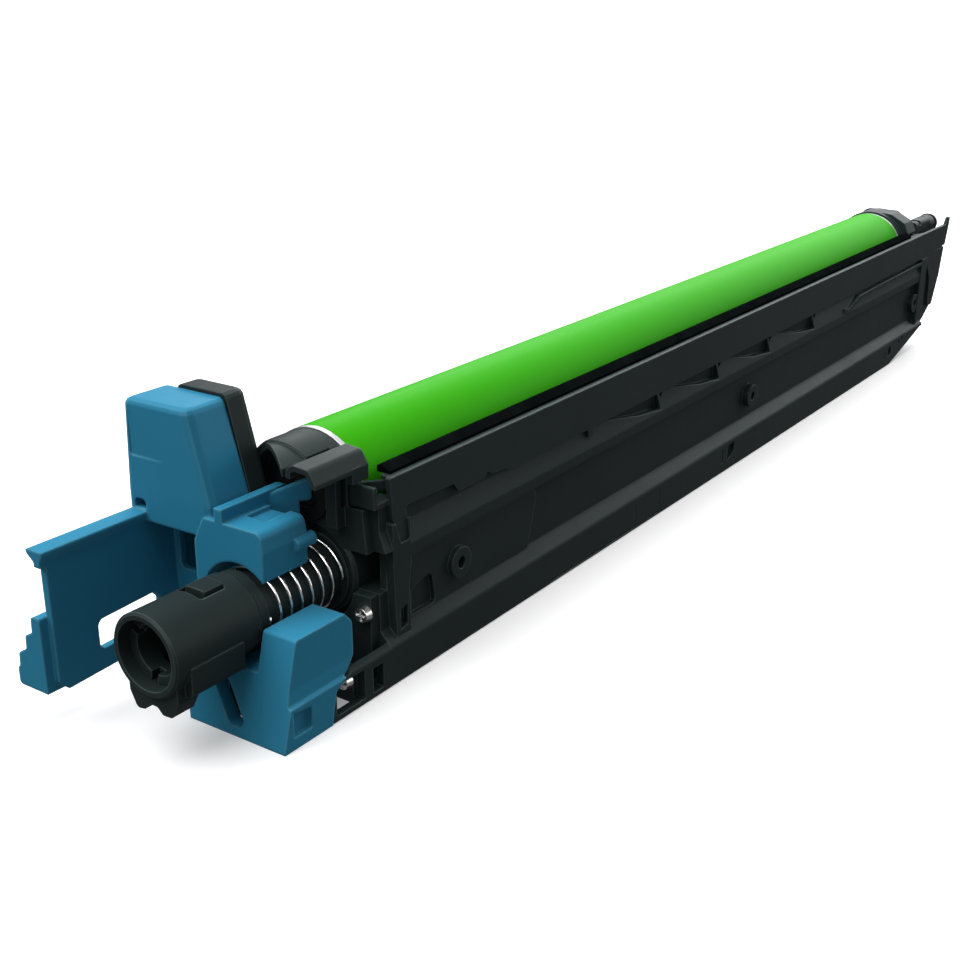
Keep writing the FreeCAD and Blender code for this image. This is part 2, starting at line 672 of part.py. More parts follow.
def front_housing():
    y0 = front_wall_face
    y1 = front_wall_back
    hood_front = y0 - hood_reach
    radius = front_hood_radius
    wall_plate = prism_y([
        (housing_left, 12, 1.5), (-12.0, 12, 0), (-9.0, 5, 0), (19.0, 5, 0), (19.0, 30, 0),
        (flange_x - 2.6, 44, 0), (flange_x - 2.6, 50, 0), (-radius, 50, 0), (-radius, 46, 1.5),
        (housing_left, 46, 2.5)], y0, y1)
    rim = rod_y(0, drum_axis_z, radius, y0, y1)
    hood = ring_y(0, drum_axis_z, radius, radius - hood_wall, y0 - hood_step, y0)
    hood_end = ring_y(0, drum_axis_z, radius - 0.5, radius - hood_wall, hood_front, y0 - hood_step)
    below = box(-20, 20, hood_front - 1, y0, drum_axis_z - 20, drum_axis_z + 1.0)
    beside = prism_y([(hood_side, 70), (hood_side, 59), (hood_side + 0.8, 46), (20, 46), (20, 70)],
                     hood_front - 1, y0)
    slant = prism_z([(-20, hood_front - 2), (hood_side + 1, hood_front - 2), (hood_side + 1, hood_front),
                     (-5.2, front - 12.5), (-20, front - 12.5)], 40, 70)
    block_room = box(-20, -5.2, hood_front - 1, front - 9.9, drum_axis_z - 1, drum_axis_z + 20)
    hood = without(joined([hood, hood_end]), [below, beside, block_room, slant])
    lobe = prism_y([
        (8.6, 57.2, 0), (8.6, 59.4, 0.8), (10.6, 60.7, 1), (15.4, 60.3, 1.6), (17.4, 57.0, 0.8), (17.4, 56.0, 0),
        (16.2, 56.0, 0), (15.9, 57.0, 0.6), (14.7, 59.0, 1), (11.0, 59.3, 0.6), (9.8, 58.6, 0.4), (9.8, 57.2, 0)],
        y0 - 15.8, y0)
    lobe_web = prism_y([(8.0, 54), (8.6, 59.4, 0.8), (10.6, 60.7, 1), (15.4, 60.3, 1.6), (17.4, 57.0, 0.8),
                        (17.4, 53.6), (13, 50), (8, 50)], y0, y1)
    lobe_side = box(15.9, 17.4, y0 - 3, y0, 53.4, 57.2)
    screen = box(8.7, 12.0, y0 - 3, y0 - 1.2, 41, 58.8)
    screen_foot = box(8.7, 12.0, y0 - 3, y0, 41, 45.9)
    side = box(housing_left, -18.6, y0 - 9, y0, 24, 44)
    side_hollow = box(housing_left + wall, -20.6, y0 - 10, y0 - 1.5, 26, 42)
    cheek = prism_y([(-16.0, 12), (-12.0, 12), (-12.0, 15), (-14.0, 17), (-14.0, 24), (-16.0, 24)],
                    y0 - 9, y0)
    body = joined([wall_plate, rim, side, cheek, lobe_web]).cut(side_hollow)
    body = joined([body, hood, lobe, lobe_side, screen, screen_foot])
    bearing_seat = rod_y(0, drum_axis_z, bearing_radius + seat_gap / 3, y0 - 2, y1 + 1)
    barrel_hole = rod_y(tube_x, tube_z, barrel_radius + 0.8, y0 - 1, y1 + 1)
    nook = prism_y([(tube_x, nook_low), (20, nook_low), (20, nook_top), (tube_x, nook_top)], y0 - 1, y1 + 1)
    pocket_room = box(pocket_left - 0.3, 20, y0 - 1, y1 + 1, 46.0, 53.3)
    x, y, z = side_screw_places()[0]
    screw_hole = rod_y(x, z, screw_radius + 0.1, y0 - 1, y1 + 1)
    return without(body, [bearing_seat, barrel_hole, nook, pocket_room, screw_hole])


def front_bearing():
    return turned_profile([
        (front_wall_face - 0.8, bearing_bore), (front_wall_face - 0.8, bearing_radius + 1.2),
        (front_wall_face - 0.02, bearing_radius + 1.2), (front_wall_face - 0.02, bearing_radius),
        (front_wall_back, bearing_radius), (front_wall_back, bearing_bore)], 0, drum_axis_z)


def tube_housing():
    bore = auger_radius + trough_gap
    seat = tube_radius + running_gap
    body = turned_profile([
        (barrel_start, seat), (barrel_start, barrel_radius - 0.8), (barrel_start + 0.8, barrel_radius),
        (barrel_end, barrel_radius), (barrel_end, bore), (barrel_start + barrel_seat, bore),
        (barrel_start + barrel_seat, seat)], tube_x, tube_z)
    clear = rod_y(0, drum_axis_z, drum_radius + drum_gap, front_wall_back - 0.02, barrel_end + 1)
    low = box(tube_x - 15, tube_x + 15, barrel_start - 1, barrel_end + 1, 0, tube_z - barrel_radius + 1.2)
    return without(body, [clear, low])


def spring_collar():
    return ring_y(tube_x, tube_z, sleeve_radius + 0.4, tube_radius + running_gap,
                  spring_stop, barrel_start - 0.02)


# Blue lower cover

def front_cover_lower():
    y_front = front - cover_front
    y_back = front - cover_back
    low_back = front - rail_reach - 2.6
    side = prism_x([
        (y_front, 0), (low_back, 0), (low_back + 1.6, 8.0), (y_back - 2.6, ledge_low + 0.6),
        (y_back, ledge_low + 3.4), (y_back, cover_top - 2.6, 2.4), (y_back - 2.4, cover_top),
        (y_front + 7.0, cover_top, 0.8)], cover_left, base_right)
    cradle = rod_y(tube_x, tube_z, sleeve_radius + cradle_gap, y_front - 5, y_back + 5)
    keel_room = box(tube_x - 2.4, tube_x + 2.4, y_front - 5, sleeve_end + shutter_travel + 1.5, 12.8, tube_z)
    skirt_room = box(tube_x + 1, tube_x + sleeve_radius + 0.7, y_front - 5,
                     sleeve_end - skirt_gap + shutter_travel + 1, tube_z - 10.8, tube_z)
    ledge_cut = prism_y([(base_right + 1, ledge_low - 0.6), (base_right - 1.0, ledge_low - 0.2, 0.4),
                         (base_right - 1.4, ledge_low + 3.2), (base_right - 1.4, cover_top + 1),
                         (base_right + 1, cover_top + 1)], y_front - 1, y_back + 1)
    left_cut = prism_y([(cover_left - 1, -1), (cover_left + 2.4, -1), (cover_left, 6), (cover_left - 1, 6)],
                       y_front - 1, y_back + 1)
    hollow = prism_x([
        (y_front + cover_wall + 1.2, -1), (low_back + 3, -1), (y_back + 1, ledge_low + 0.6),
        (y_back + 1, cover_top - cover_wall), (y_front + 7.6 + cover_wall, cover_top - cover_wall)],
        cover_left + cover_wall, base_right - 1.4 - cover_wall)
    shell = side.cut(hollow)
    trough_wall = ring_y(tube_x, tube_z, sleeve_radius + cradle_gap + cover_wall, sleeve_radius + cradle_gap,
                         y_front + 4, y_back)
    trough_wall = trough_wall.common(side)
    keel_wall = box(tube_x - 4.6, tube_x + 4.6, y_front + 2, sleeve_end + shutter_travel + 3.7, 10.6, 16)
    keel_wall = keel_wall.common(side)
    shell = joined([shell, trough_wall, keel_wall])
    slot = prism_y([(slot_x - 6.8, slot_top, 2.3), (slot_x - 1.1, slot_top, 2.3),
                    (slot_x + 6.9, slot_low, 2.3), (slot_x + 1.2, slot_low, 2.3)], y_front - 2, y_front + 12)
    recess = prism_x([(y_front + 3.4, 3.0), (y_front + 9.4, 3.0), (y_front + 9.4, 8.4), (y_front + 3.4, 9.2)],
                     base_right - 1.2, base_right + 1, 0.4)
    return without(shell, [cradle, keel_room, skirt_room, ledge_cut, left_cut, slot, recess])


def locating_block():
    """Black block of the frame behind the slanted slot."""
    y0 = front - cover_front + 7.5
    return prism_y([(slot_x - 5, 1.62), (slot_x + 6.4, 1.62), (slot_x + 6.4, 7.0, 0.5), (slot_x + 4.0, 9.6, 0.5),
                    (slot_x - 5, 9.6, 0.5)], y0, front - 14.2)


# Blue upper cover with the pull arm, the cap and the tube guard

def front_cover_upper():
    face = front - cap_front
    back = front - cap_back
    arm_front = front - arm_reach
    arm_right = arm_x + arm_thick / 2
    arm_left = arm_x - arm_thick / 2
    plate = prism_x([
        (arm_front, arm_low + 1.6, 1.4), (arm_front + 2.4, arm_low - 0.8, 1.0), (front - 21, arm_low + 1.0, 2),
        (front - 21, arm_top), (arm_front - 1.6, arm_top, 0.6), (arm_front - 1.2, arm_top - 1.6, 0.4),
        (arm_front, arm_top - 3.6, 1.0)], arm_left, arm_right)
    window = prism_x([
        (front - 47.2, arm_low + 4.8, 1.8), (front - 27.6, arm_low + 6.0, 1.8),
        (front - 27.6, arm_low + 11.0, 1.2), (front - 29.6, arm_low + 13.4, 1.2),
        (front - 47.2, arm_low + 12.6, 1.8)], arm_left - 1, arm_right + 1)
    flange = prism_y([
        (arm_x - 3.4, arm_top, 0.3), (arm_x - 3.2, arm_top - 1.0, 0.3), (arm_left, arm_top - 2.8, 1.2),
        (arm_left, arm_top - 4), (arm_right, arm_top - 4), (arm_right, arm_top - 2.8, 1.2),
        (arm_x - 3.4 + flange_width, arm_top - 1.0, 0.3), (arm_x - 3.4 + flange_width, arm_top, 0.3)],
        arm_front - 1.6, back)
    grip = prism_y([
        (arm_left + 0.4, 27.4, 0.6), (arm_x - 3.6, 27.4, 1.0), (arm_x - 3.8, 23.2, 0.8), (arm_x - 6.4, 21.8, 1.2),
        (arm_x - 6.6, 18.4, 0.8), (arm_x - 9.6, 16.6, 1.2), (arm_x - 9.8, 13.2, 0.8), (arm_x - 10.6, 12.4, 1.0),
        (arm_x - 10.6, 8.2, 1.0), (arm_left + 0.4, 8.2)], arm_front - 2.4, arm_front + 8.0)
    grip_back = prism_z([(arm_left + 1, arm_front + 3), (arm_left + 1, arm_front + 9),
                         (arm_x - 12, arm_front + 9), (arm_x - 12, arm_front + 5.2)], 5, 30)
    grip = without(grip, [grip_back])
    cap_outer = Part.makeLoft([
        rounded_wire([(cap_left, face, 1.6), (-6.6, face + 0.6, 2.4), (-6.2, back, 0.8), (cap_left, back, 0.8)],
                     lambda x, y: V(x, y, arm_top - 2.4), True),
        rounded_wire([(cap_left, face, 1.6), (-6.8, face + 0.6, 2.4), (-6.4, back, 0.8), (cap_left, back, 0.8)],
                     lambda x, y: V(x, y, arm_top + 5.0), True),
        rounded_wire([(cap_left + 0.5, face + 0.5, 1.6), (cap_right - 0.3, face + 1.0, 2.4),
                      (cap_right - 0.1, back, 0.8), (cap_left + 0.5, back, 0.8)],
                     lambda x, y: V(x, y, cap_top - 1.4), True),
        rounded_wire([(cap_left + 0.9, face + 0.9, 1.6), (cap_right - 0.8, face + 1.4, 2.2),
                      (cap_right - 0.6, back, 0.8), (cap_left + 0.9, back, 0.8)],
                     lambda x, y: V(x, y, cap_top - 0.5), True),
        rounded_wire([(cap_left + 1.9, face + 1.9, 1.2), (cap_right - 1.8, face + 2.4, 1.8),
                      (cap_right - 1.6, back, 0.6), (cap_left + 1.9, back, 0.6)],
                     lambda x, y: V(x, y, cap_top), True)], True, True)
    cap_inner = Part.makeLoft([
        rounded_wire([(cap_left + cap_wall, face + cap_wall, 1), (-8.4, face + cap_wall + 0.4, 1),
                      (-8.4, back + 1), (cap_left + cap_wall, back + 1)], lambda x, y: V(x, y, arm_top - 3), True),
        rounded_wire([(cap_left + cap_wall, face + cap_wall, 1), (-8.6, face + cap_wall + 0.4, 1),
                      (-8.6, back + 1), (cap_left + cap_wall, back + 1)], lambda x, y: V(x, y, arm_top + 5.0), True),
        rounded_wire([(cap_left + cap_wall + 0.5, face + cap_wall + 0.5, 1),
                      (cap_right - cap_wall, face + cap_wall + 1, 1), (cap_right - cap_wall + 0.2, back + 1),
                      (cap_left + cap_wall + 0.5, back + 1)], lambda x, y: V(x, y, cap_top - cap_wall), True)],
        True, True)
    panel = prism_y([(cap_left + 2.0, 57.6, 0.8), (cap_left + 12.6, 57.6, 0.8), (cap_left + 12.6, 68.6, 0.8),
                     (cap_left + 2.0, 68.6, 0.8)], face - 1, face + 0.55)
    peep = prism_y([(-31.8, 44.6), (-28.0, 44.6), (-28.0, 47.0, 1.8), (-31.8, 47.0, 1.8)],
                   face - 1, face + 3)
    deck = prism_z([(cap_left + 1, face + 6, 1), (-28.0, face + 2, 2), (-10.0, face + 1, 2),
                    (8.6, face, 1), (8.6, back + 1.4, 1), (-5.4, back + 1.4, 0.5), (-5.4, back),
                    (cap_left + 1, back, 1)], arm_top - 0.4, arm_top + 1.8)
    front_wall = prism_y([
        (-29.5, arm_top), (-29.5, 20.5, 1), (-13.0, 20.5, 1), (-10.6, 27, 1), (-10.6, arm_top)],
        front - 21.6, front - 19.6)
    arch = prism_y([(-27.4, 26.5, 1), (-15.0, 26.5, 1), (-15.0, 40.0, 5), (-27.4, 40.0, 1.4)],
                   front - 23, front - 19)
    end_wall_left = prism_x([(front - 24, 18.0, 2), (front - 15.2, 18.0), (front - 15.2, arm_top),
                             (front - 24, arm_top)], arm_left, arm_right)
    guard_outer = prism_y([
        (tube_x - sleeve_radius - 3.2, tube_z + 1.5, 1.5), (tube_x - sleeve_radius - 3.2, 40.5, 2),
        (-9.0, arm_top + 2.8, 1.2), (8.9, arm_top + 2.8, 2.0), (9.6, 42.0, 1.0), (9.3, 35.0, 0),
        (tube_x, tube_z)], face, back + 1.4)
    guard_bore = rod_y(tube_x, tube_z, sleeve_radius + guard_gap, face - 1, back + 4)
    dish = box(-1.4, 4.8, face + 6.6, back + 2, arm_top + 1.8, arm_top + 4)
    nub = rod_y(9.2, 40.6, 1.7, back - 3, back + 3.4)
    rail_left = prism_x([(face, arm_top), (front - 7.2, arm_top), (front - 7.2, arm_top + 6, 3.0),
                         (face, arm_top + 6)], -5.2, -2.6)
    rail_run = math.hypot(9.6, 12.2)
    rail_right = prism_x([(0, arm_top - 3), (rail_run - 3, arm_top - 3), (rail_run - 3, arm_top + 2.5),
                          (rail_run, arm_top + 2.5, 0.8), (rail_run, arm_top + 8, 0.8), (0, arm_top + 3.4)],
                         -0.7, 0.7)
    rail_right.rotate(V(0, 0, 0), V(0, 0, 1), -math.degrees(math.atan2(9.6, 12.2)))
    rail_right.translate(V(-6.6, front - 18.8, 0))
    cap = without(cap_outer, [cap_inner, panel, peep])
    guard = without(guard_outer, [guard_bore, dish])
    arm = without(joined([plate, flange, grip]), [window])
    wall_part = without(front_wall, [arch])
    body = joined([cap, deck, arm, wall_part, end_wall_left, guard, rail_left, rail_right, nub])
    inside_cap = box(cap_left + cap_wall + 0.6, -8.8, face + 4.2, back + 2, arm_top + 1.9, arm_top + 4)
    guard_room = rod_y(tube_x, tube_z, sleeve_radius + guard_gap, face - 1, back + 4)
    return without(body, [guard_room, inside_cap])


def connector_block():
    y0 = front - cap_back + 0.02
    y1 = front - 10.2
    body = Part.makeLoft([
        rounded_wire([(-30.5, y0, 0), (-5.8, y0, 0), (-5.8, y1, 2.2), (-30.5, y1, 1.2)],
                     lambda x, y: V(x, y, 46.1), True),
        rounded_wire([(-28.5, y0, 0), (-12.3, y0, 0), (-12.7, y1, 2.2), (-28.5, y1, 1.2)],
                     lambda x, y: V(x, y, cap_top - 0.2), True),
        rounded_wire([(-28.1, y0, 0), (-12.8, y0, 0), (-13.2, y1 - 0.4, 2.0), (-28.1, y1 - 0.4, 1.2)],
                     lambda x, y: V(x, y, cap_top + 0.6), True),
        rounded_wire([(-27.3, y0, 0), (-13.8, y0, 0), (-14.2, y1 - 1.2, 1.8), (-27.3, y1 - 1.2, 1.0)],
                     lambda x, y: V(x, y, cap_top + 1.0), True)], True, True)
    plug = box(-29.5, -16.0, y0 - 6, y0 + 0.5, 48.5, 64)
    base = box(-32, -17.4, y0, front_wall_face - 0.02, 44.1, 46.2)
    guard_room = box(-9.8, -5, y0 - 1, front - 15.4, 46, 47.1)
    sockets = [box(-27 + 5 * i, -24.4 + 5 * i, y1 - 3, y1 + 1, 50, 62) for i in range(2)]
    return without(joined([body, plug, base]), sockets + [guard_room])


# Charging unit along the left side

def charge_case():
    y0 = front_wall_back + 0.02
    y1 = rear_wall_face - 0.02
    body = prism_y([
        (base_left - 0.02, 17.0), (base_left - 0.02, 26.4), (-20.0, 28.6), (-20.0, 31.0),
        (-31.6, 31.0), (-31.6, 44.2), (-20.6, 44.2), (-20.6, 46.0, 0.6), (housing_left, 46.0, 2.0),
        (housing_left, 27.0, 2.0), (-22.0, 17.0, 1.5)], y0, y1)
    slots = []
    count = 12
    step = (y1 - y0) / count
    for i in range(count):
        slots.append(box(-29.0, -23.0, y0 + i * step + 6, y0 + (i + 1) * step - 6, 43, 47))
        slots.append(box(housing_left - 1, -31, y0 + i * step + 8, y0 + (i + 1) * step - 8, 34, 41))
    return without(body, slots)


def charge_grid():
    y0 = front + 1
    y1 = rear - 1
    sheet = prism_y([(-20.3, 31.2), (-19.9, 31.2), (-19.9, 44.0), (-20.3, 44.0)], y0, y1)
    frame = sheet.copy()
    windows = []
    count = 12
    step = (y1 - y0 - 12) / count
    for i in range(count):
        for z in (32.4, 38.4):
            windows.append(box(-21, -19, y0 + 6 + i * step + 0.8, y0 + 6 + (i + 1) * step - 0.8, z, z + 4.6))
    return frame.cut(Part.makeCompound(windows))


def charge_wire():
    return rod_y(-26.0, 37.6, 0.3, front + 5.9, rear - 5.9)


def wire_blocks():
    blocks = []
    for y0 in (front + 0.6, rear - 6.0):
        blocks.append(prism_y([(-31.4, 31.2, 1.2), (-20.6, 31.2), (-20.6, 40.0, 1), (-24.0, 43.0, 1), (-31.4, 43.0)],
                              y0, y0 + 5.4).cut(rod_y(-26.0, 37.6, 0.35, y0 - 1, y0 + 7)))
    return Part.makeCompound(blocks)


# Rear end

def rear_housing():
    y0 = rear_wall_face
    y1 = rear_wall_back
    plate = prism_y([
        (housing_left, 12.02, 1.5), (wall_x - wall - 0.1, 12.02), (wall_x - wall - 0.1, 43, 0), (14, 50),
        (-14, 50), (-rear_hood_radius, 46, 1.5), (housing_left, 46, 2.5)], y0, y1)
    rim = rod_y(0, drum_axis_z, rear_hood_radius - 0.1, y0, y1)
    side = box(housing_left, -18.6, y1, gear_end + 1.0, 18, 46)
    side = side.cut(box(housing_left + wall, -20.6, y1 + 1, gear_end + 2, 20, 44))
    plate = joined([plate, rim, side])
    hub_hole = rod_y(0, drum_axis_z, shaft_radius + 1.0 + running_gap, y0 - 1, y1 + 1)
    auger_hole = rod_y(tube_x, tube_z, auger_core + running_gap, y0 - 1, y1 + 1)
    return without(plate, [hub_hole, auger_hole])


def rear_shroud():
    y0 = drum_rear + end_gap
    y1 = gear_end + 1.0
    inner = rear_hood_radius
    outer = inner + rear_hood_skin
    body = ring_y(0, drum_axis_z, outer, inner, y0, y1)
    cap = ring_y(0, drum_axis_z, outer, inner - 1.0, rear_wall_back + 0.02, y1)
    fin = prism_y([(2, 62.9, 0), (8.4, 62.2, 1), (14.8, 58.8, 1), (17.4, 53.6, 1), (15.6, 52.8), (12, 56.4),
                   (4, 61.6)], rear_wall_back + 0.02, y1)
    below = box(-20, 20, y0 - 1, y1 + 1, drum_axis_z - 20, drum_axis_z + 2.0)
    return without(joined([body, cap, fin]), [below])


def rear_cover():
    y0 = gear_end + 1.02
    y1 = y0 + 3.0
    plate = prism_y([
        (housing_left, 12.02, 2), (wall_x - wall - 0.1, 12.02, 1), (wall_x - wall - 0.1, 44, 0),
        (flange_x - 2.7, 50, 1), (rear_hood_radius - 0.6, 56.0, 1), (7, 62.4, 3), (-7, 62.4, 3),
        (-rear_hood_radius, 54, 3), (-rear_hood_radius, 46, 1), (housing_left, 46, 2.5)], y0, y1)
    boss = ring_y(0, drum_axis_z, 8.0, shaft_radius + 1.4, y1 - 1, y1 + 3.0)
    hub_hole = rod_y(0, drum_axis_z, shaft_radius + 1.4, y0 - 1, y1 + 1)
    auger_hole = rod_y(tube_x, tube_z, auger_core + running_gap, y0 - 1, y0 + 1.6)
    web = box(-30, -20, y1 - 1, y1 + 1.2, 20, 42)
    pin = rod_y(-26, 31, 3.0, y1, y1 + 9.0)
    tip = Part.makeCone(3.0, 1.8, 2.0, V(-26, y1 + 9.0, 31), V(0, 1, 0))
    return without(joined([plate, boss, web, pin, tip]), [hub_hole, auger_hole])


def rear_latch():
    """Stepped block with a round nose beside the drum end."""
    y0 = gear_end + 4.04
    y1 = rear + plate_tail - 4.0
    arm = prism_y([(9.6, 47.0, 1), (9.6, 57.4, 2), (16.4, 57.4, 2), (17.0, 47.0, 1)], y0, y1 - 9)
    nose = turned_profile([(y1 - 10, 0), (y1 - 10, 4.2), (y1 - 3.6, 4.2), (y1 - 3.6, 3.2), (y1 - 2.4, 3.2),
                           (y1 - 2.4, 4.6), (y1, 4.2), (y1, 0)], 13.0, 53.4)
    step = prism_x([(y0, 45.2), (y1 - 16, 45.2), (y1 - 16, 48), (y0, 48)], 9.6, 17.3, 0.6)
    notch = prism_x([(y0 + 4, 55.6), (y0 + 7.4, 55.6), (y0 + 7.4, 59), (y0 + 4, 59)], 8, 18, 0.8)
    return without(joined([arm, nose, step]), [notch])


def end_plate():
    """Dark plate behind the tail of the side plate, with a curved foot."""
    y0 = frame_end + 0.02
    y1 = frame_end + 4.0
    tail = rear + plate_tail
    cross = prism_y([(wall_x - wall - 1.4, 14), (flange_x, 14), (flange_x, 43), (14, 43, 2),
                     (14, 18, 2)], y0, y1)
    skin = prism_x([(y0, 14), (tail - 17, 14, 2), (tail - 9, 18, 2), (tail - 2.4, 31, 2), (tail - 0.4, 46), (y0, 46)],
                   wall_x - wall + 0.1, flange_x)
    foot = prism_x([(y0, 9.2, 1), (y0 + 8, 10.0, 5), (y0 + 19, 16.0, 1), (y0 + 17, 18.0, 1), (y0 + 8, 13.2, 4),
                    (y0 + 3, 14.6), (y0, 14.6)], 17.5, flange_x)
    return joined([cross, skin, foot])


# Output

sub_parts = {
    "main_frame": main_frame,
    "side_bracket": side_bracket,
    "seal_strip": seal_strip,
    "side_screws": side_screws,
    "blade_holder": blade_holder,
    "cleaning_blade": cleaning_blade,
    "blade_screws": blade_screws,
    "end_seals": end_seals,
    "recovery_film": recovery_film,
    "front_housing": front_housing,
    "front_bearing": front_bearing,
    "tube_housing": tube_housing,
    "spring_collar": spring_collar,
    "front_cover_lower": front_cover_lower,
    "locating_block": locating_block,
    "front_cover_upper": front_cover_upper,
    "connector_block": connector_block,
    "charge_case": charge_case,
    "charge_grid": charge_grid,
    "charge_wire": charge_wire,
    "wire_blocks": wire_blocks,
    "rear_housing": rear_housing,
    "rear_shroud": rear_shroud,
    "rear_cover": rear_cover,
    "rear_latch": rear_latch,
    "end_plate": end_plate,
    "drum_tube": drum_tube,
    "drum_rims": drum_rims,
    "front_flange": front_flange,
    "drum_gear": drum_gear,
    "auger_screw": auger_screw,
    "auger_gear": auger_gear,
    "waste_tube": waste_tube,
    "shutter_sleeve": shutter_sleeve,
    "shutter_spring": shutter_spring,
}

os.makedirs("parts", exist_ok=True)
for name, make in sub_parts.items():
    shape = make()
    shape.exportStep("parts/" + name + ".step")
    print(name, "solids", len(shape.Solids), "valid", shape.isValid(), "volume", round(shape.Volume))
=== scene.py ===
import bpy
import json
import math
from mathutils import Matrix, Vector


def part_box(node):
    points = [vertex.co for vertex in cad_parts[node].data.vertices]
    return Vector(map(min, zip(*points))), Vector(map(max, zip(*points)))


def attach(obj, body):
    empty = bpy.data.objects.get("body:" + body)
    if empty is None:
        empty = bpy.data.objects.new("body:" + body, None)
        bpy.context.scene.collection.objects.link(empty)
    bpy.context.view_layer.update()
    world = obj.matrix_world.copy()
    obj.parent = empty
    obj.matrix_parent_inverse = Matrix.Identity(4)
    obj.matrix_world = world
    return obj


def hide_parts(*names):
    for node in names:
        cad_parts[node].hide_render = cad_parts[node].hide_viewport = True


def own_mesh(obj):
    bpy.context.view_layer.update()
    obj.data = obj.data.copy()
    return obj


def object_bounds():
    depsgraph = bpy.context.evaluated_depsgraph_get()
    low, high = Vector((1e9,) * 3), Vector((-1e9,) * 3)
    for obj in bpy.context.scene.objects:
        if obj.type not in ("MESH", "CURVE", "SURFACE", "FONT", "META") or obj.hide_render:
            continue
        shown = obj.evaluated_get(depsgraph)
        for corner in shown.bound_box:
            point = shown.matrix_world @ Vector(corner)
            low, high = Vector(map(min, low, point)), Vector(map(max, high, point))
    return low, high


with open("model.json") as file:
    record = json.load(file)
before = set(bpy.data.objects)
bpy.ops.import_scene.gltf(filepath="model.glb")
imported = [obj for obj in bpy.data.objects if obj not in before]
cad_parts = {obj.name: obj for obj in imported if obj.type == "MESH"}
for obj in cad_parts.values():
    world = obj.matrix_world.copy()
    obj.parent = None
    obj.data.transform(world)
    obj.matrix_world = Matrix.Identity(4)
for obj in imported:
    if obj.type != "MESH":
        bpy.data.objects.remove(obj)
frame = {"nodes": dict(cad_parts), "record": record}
NODES = frame["nodes"]
CAD_BOX = [list(corner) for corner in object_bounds()]

# Camera, found from the photograph's straight edges
CAMERA_PLACE = (0.20825, -0.4199, 0.16275)
CAMERA_TURN = (69.45, 0.0, 34.67)
CAMERA_LENS = 50.1

# Studio
FLOOR_WHITE = 0.92
FLOOR_GLOW = 0.25
FLOOR_WIDTH = 80.0
WORLD_LIGHT = 0.2
BACKDROP_WHITE = 1.1
OVERHEAD_POWER = 3.7
OVERHEAD_SPREAD = 75
OVERHEAD_TILT = (13, -20, 0)

# Places read from the solids, in metres
TUBE_LOW, TUBE_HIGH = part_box("waste_tube")
TUBE_X = (TUBE_HIGH.x + TUBE_LOW.x) / 2
TUBE_Z = (TUBE_HIGH.z + TUBE_LOW.z) / 2
SPRING_LOW, SPRING_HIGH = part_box("shutter_spring")
SPRING_TURNS = 7
SPRING_WIRE = 0.000375  # radius of the wire
SPRING_PLAY = 0.0005  # between tube and coil


# Shader groups

def new_group(name, inputs, outputs):
    """An empty shader group with float inputs and typed outputs."""
    group = bpy.data.node_groups.new(name, "ShaderNodeTree")
    for label, value in inputs:
        socket = group.interface.new_socket(label, in_out="INPUT", socket_type="NodeSocketFloat")
        socket.default_value = value
    for label, kind in outputs:
        group.interface.new_socket(label, in_out="OUTPUT", socket_type=kind)
    start = group.nodes.new("NodeGroupInput")
    end = group.nodes.new("NodeGroupOutput")
    return group, start, end


def moulded_grain_group():
    """Fine spark-eroded grain and slow colour drift of a moulding."""
    group, start, end = new_group(
        "moulded_grain", [("Scale", 1400.0), ("Drift Scale", 18.0)],
        [("Height", "NodeSocketFloat"), ("Drift", "NodeSocketFloat"), ("Rub", "NodeSocketFloat")])
    place = group.nodes.new("ShaderNodeTexCoord")
    fine = group.nodes.new("ShaderNodeTexNoise")
    fine.inputs["Detail"].default_value = 2.0
    drift = group.nodes.new("ShaderNodeTexNoise")
    drift.inputs["Detail"].default_value = 3.0
    rub = group.nodes.new("ShaderNodeTexNoise")
    rub.inputs["Scale"].default_value = 90.0
    rub.inputs["Detail"].default_value = 6.0
    rub.inputs["Distortion"].default_value = 1.2
    link = group.links.new
    for noise in (fine, drift, rub):
        link(place.outputs["Object"], noise.inputs["Vector"])
    link(start.outputs["Scale"], fine.inputs["Scale"])
    link(start.outputs["Drift Scale"], drift.inputs["Scale"])
    link(fine.outputs["Fac"], end.inputs["Height"])
    link(drift.outputs["Fac"], end.inputs["Drift"])
    link(rub.outputs["Fac"], end.inputs["Rub"])
    return group


def soft_edge_group():
    """Rounded edge normal, and a mask that is 1 on the edges, where a painted highlight goes."""
    group, start, end = new_group(
        "soft_edge", [("Radius", 0.0005), ("Reach", 6.0)],
        [("Normal", "NodeSocketVector"), ("Painted Highlight", "NodeSocketFloat")])
    bevel = group.nodes.new("ShaderNodeBevel")
    bevel.samples = 4
    shape = group.nodes.new("ShaderNodeNewGeometry")
    dot = group.nodes.new("ShaderNodeVectorMath")
    dot.operation = "DOT_PRODUCT"
    away = group.nodes.new("ShaderNodeMath")
    away.operation = "SUBTRACT"
    away.inputs[0].default_value = 1.0
    grow = group.nodes.new("ShaderNodeMath")
    grow.operation = "MULTIPLY"
    grow.use_clamp = True
    link = group.links.new
    link(start.outputs["Radius"], bevel.inputs["Radius"])
    link(bevel.outputs["Normal"], dot.inputs[0])
    link(shape.outputs["Normal"], dot.inputs[1])
    link(dot.outputs["Value"], away.inputs[1])
    link(away.outputs["Value"], grow.inputs[0])
    link(start.outputs["Reach"], grow.inputs[1])
    link(bevel.outputs["Normal"], end.inputs["Normal"])
    link(grow.outputs["Value"], end.inputs["Painted Highlight"])
    return group


